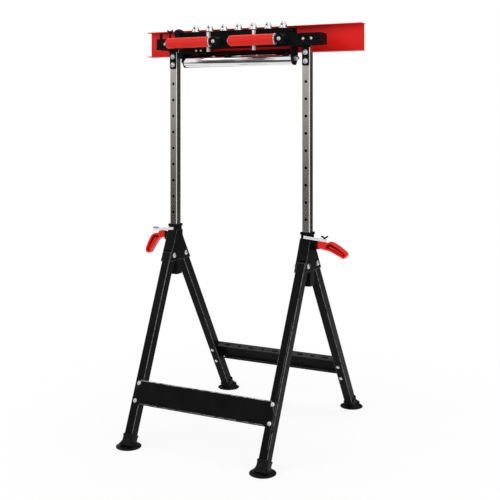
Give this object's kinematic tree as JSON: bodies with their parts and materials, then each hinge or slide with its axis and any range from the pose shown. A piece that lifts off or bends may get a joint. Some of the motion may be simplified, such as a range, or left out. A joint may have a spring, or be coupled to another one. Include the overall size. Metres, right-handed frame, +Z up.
{
  "type": "work trestle",
  "caption": "Height-adjustable folding work trestle with a steel roller, a row of ball rollers, a back rail and two swinging padded arms on telescopic posts.",
  "frame": {"origin": "on the floor, in the middle of the footprint box, midway between the posts", "axes": "+X to the right along the beam, -Y to the front, +Z up"},
  "size_m": [0.738, 0.6984, 1.226],
  "materials": {
    "black_steel": "satin black powder coat",
    "post_steel": "dull grey plated tube",
    "zinc_steel": "bright zinc plate",
    "red_paint": "gloss red powder coat",
    "red_plastic": "moulded red plastic",
    "red_rubber": "smooth red sleeve",
    "black_plastic": "moulded black plastic",
    "polished_steel": "bright polished steel"
  },
  "bodies": {
    "frame": {"left_socket_tube": "black_steel", "right_socket_tube": "black_steel", "left_hood_bracket": "black_steel", "right_hood_bracket": "black_steel", "leg_pivot_bolts": "zinc_steel", "left_clamp_block": "black_steel", "right_clamp_block": "black_steel", "lever_pivot_pins": "zinc_steel"},
    "front_legs": {"front_left_leg": "black_steel", "front_right_leg": "black_steel", "front_left_foot": "black_plastic", "front_right_foot": "black_plastic", "front_stretcher": "black_steel", "front_stretcher_bolts": "zinc_steel"},
    "rear_legs": {"rear_left_leg": "black_steel", "rear_right_leg": "black_steel", "rear_left_foot": "black_plastic", "rear_right_foot": "black_plastic", "rear_stretcher": "black_steel", "rear_stretcher_bolts": "zinc_steel"},
    "head": {"left_post": "post_steel", "right_post": "post_steel", "cross_beam": "black_steel", "left_post_strap": "black_steel", "right_post_strap": "black_steel", "post_strap_bolts": "zinc_steel", "beam_rivets": "zinc_steel", "back_rail": "red_paint", "rail_brackets": "black_steel", "ball_rail": "black_steel", "ball_rail_screws": "zinc_steel", "ball_cups": "zinc_steel", "roller_carriage": "black_steel", "wing_strap": "black_steel", "roller_axle": "zinc_steel", "left_arm_bracket": "black_steel", "right_arm_bracket": "black_steel", "arm_pivot_bolts": "zinc_steel", "stop_straps": "zinc_steel", "clamp_block": "black_plastic"},
    "roller": {"roller": "polished_steel"},
    "left_arm": {"left_arm_bar": "zinc_steel", "left_arm_grip": "red_rubber"},
    "right_arm": {"right_arm_bar": "zinc_steel", "right_arm_grip": "red_rubber"},
    "left_lever": {"left_clamp_lever": "red_plastic"},
    "right_lever": {"right_clamp_lever": "red_plastic"},
    "left_lock": {"left_lock_strap": "zinc_steel", "left_lock_tab": "black_plastic"},
    "right_lock": {"right_lock_strap": "zinc_steel", "right_lock_tab": "black_plastic"},
    "knob": {"clamp_knob": "black_plastic"},
    "wing": {"wing_screw": "black_plastic"},
    "ball_1": {"ball_1": "polished_steel"},
    "ball_2": {"ball_2": "polished_steel"},
    "ball_3": {"ball_3": "polished_steel"},
    "ball_4": {"ball_4": "polished_steel"},
    "ball_5": {"ball_5": "polished_steel"},
    "ball_6": {"ball_6": "polished_steel"},
    "ball_7": {"ball_7": "polished_steel"}
  },
  "joints": [
    {"name": "front_leg_fold", "type": "hinge", "parent": "frame", "child": "front_legs", "pos_m": [0, -0.0761, 0.514], "axis": [1, 0, 0], "range_deg": [0, 24]},
    {"name": "rear_leg_fold", "type": "hinge", "parent": "frame", "child": "rear_legs", "pos_m": [0, -0.0066, 0.514], "axis": [1, 0, 0], "range_deg": [-31.5, 0]},
    {"name": "height_slide", "type": "slide", "parent": "frame", "child": "head", "axis": [0, 0, 1], "range_m": [-0.4, 0]},
    {"name": "roller_spin", "type": "hinge", "parent": "head", "child": "roller", "pos_m": [0, -0.04535, 1.114], "axis": [1, 0, 0], "continuous": true},
    {"name": "left_arm_swing", "type": "hinge", "parent": "head", "child": "left_arm", "pos_m": [-0.055, -0.09335, 1.168], "axis": [0, 1, 0], "range_deg": [0, 90]},
    {"name": "right_arm_swing", "type": "hinge", "parent": "head", "child": "right_arm", "pos_m": [0.162, -0.09335, 1.168], "axis": [0, 1, 0], "range_deg": [0, 90]},
    {"name": "left_lever_turn", "type": "hinge", "parent": "frame", "child": "left_lever", "pos_m": [-0.252, -0.04135, 0.571], "axis": [0, 1, 0], "range_deg": [0, 64]},
    {"name": "right_lever_turn", "type": "hinge", "parent": "frame", "child": "right_lever", "pos_m": [0.252, -0.04135, 0.571], "axis": [0, -1, 0], "range_deg": [-25, 39]},
    {"name": "left_lock_pull", "type": "slide", "parent": "frame", "child": "left_lock", "axis": [0, -1, 0], "range_m": [0, 0.012], "stiffness_N_per_m": 300, "springref_m": -0.005},
    {"name": "right_lock_pull", "type": "slide", "parent": "frame", "child": "right_lock", "axis": [0, -1, 0], "range_m": [0, 0.012], "stiffness_N_per_m": 300, "springref_m": -0.005},
    {"name": "knob_turn", "type": "hinge", "parent": "head", "child": "knob", "pos_m": [-0.207, -0.04935, 1.198], "axis": [0, 0, 1], "continuous": true},
    {"name": "wing_turn", "type": "hinge", "parent": "head", "child": "wing", "pos_m": [-0.242, -0.04535, 1.205], "axis": [0, 0, 1], "continuous": true},
    {"name": "ball_1_roll", "type": "hinge", "parent": "head", "child": "ball_1", "pos_m": [-0.1491, -0.04535, 1.22], "axis": [1, 0, 0], "continuous": true},
    {"name": "ball_2_roll", "type": "hinge", "parent": "head", "child": "ball_2", "pos_m": [-0.0994, -0.04535, 1.22], "axis": [1, 0, 0], "continuous": true},
    {"name": "ball_3_roll", "type": "hinge", "parent": "head", "child": "ball_3", "pos_m": [-0.0497, -0.04535, 1.22], "axis": [1, 0, 0], "continuous": true},
    {"name": "ball_4_roll", "type": "hinge", "parent": "head", "child": "ball_4", "pos_m": [0, -0.04535, 1.22], "axis": [1, 0, 0], "continuous": true},
    {"name": "ball_5_roll", "type": "hinge", "parent": "head", "child": "ball_5", "pos_m": [0.0497, -0.04535, 1.22], "axis": [1, 0, 0], "continuous": true},
    {"name": "ball_6_roll", "type": "hinge", "parent": "head", "child": "ball_6", "pos_m": [0.0994, -0.04535, 1.22], "axis": [1, 0, 0], "continuous": true},
    {"name": "ball_7_roll", "type": "hinge", "parent": "head", "child": "ball_7", "pos_m": [0.1491, -0.04535, 1.22], "axis": [1, 0, 0], "continuous": true}
  ]
}
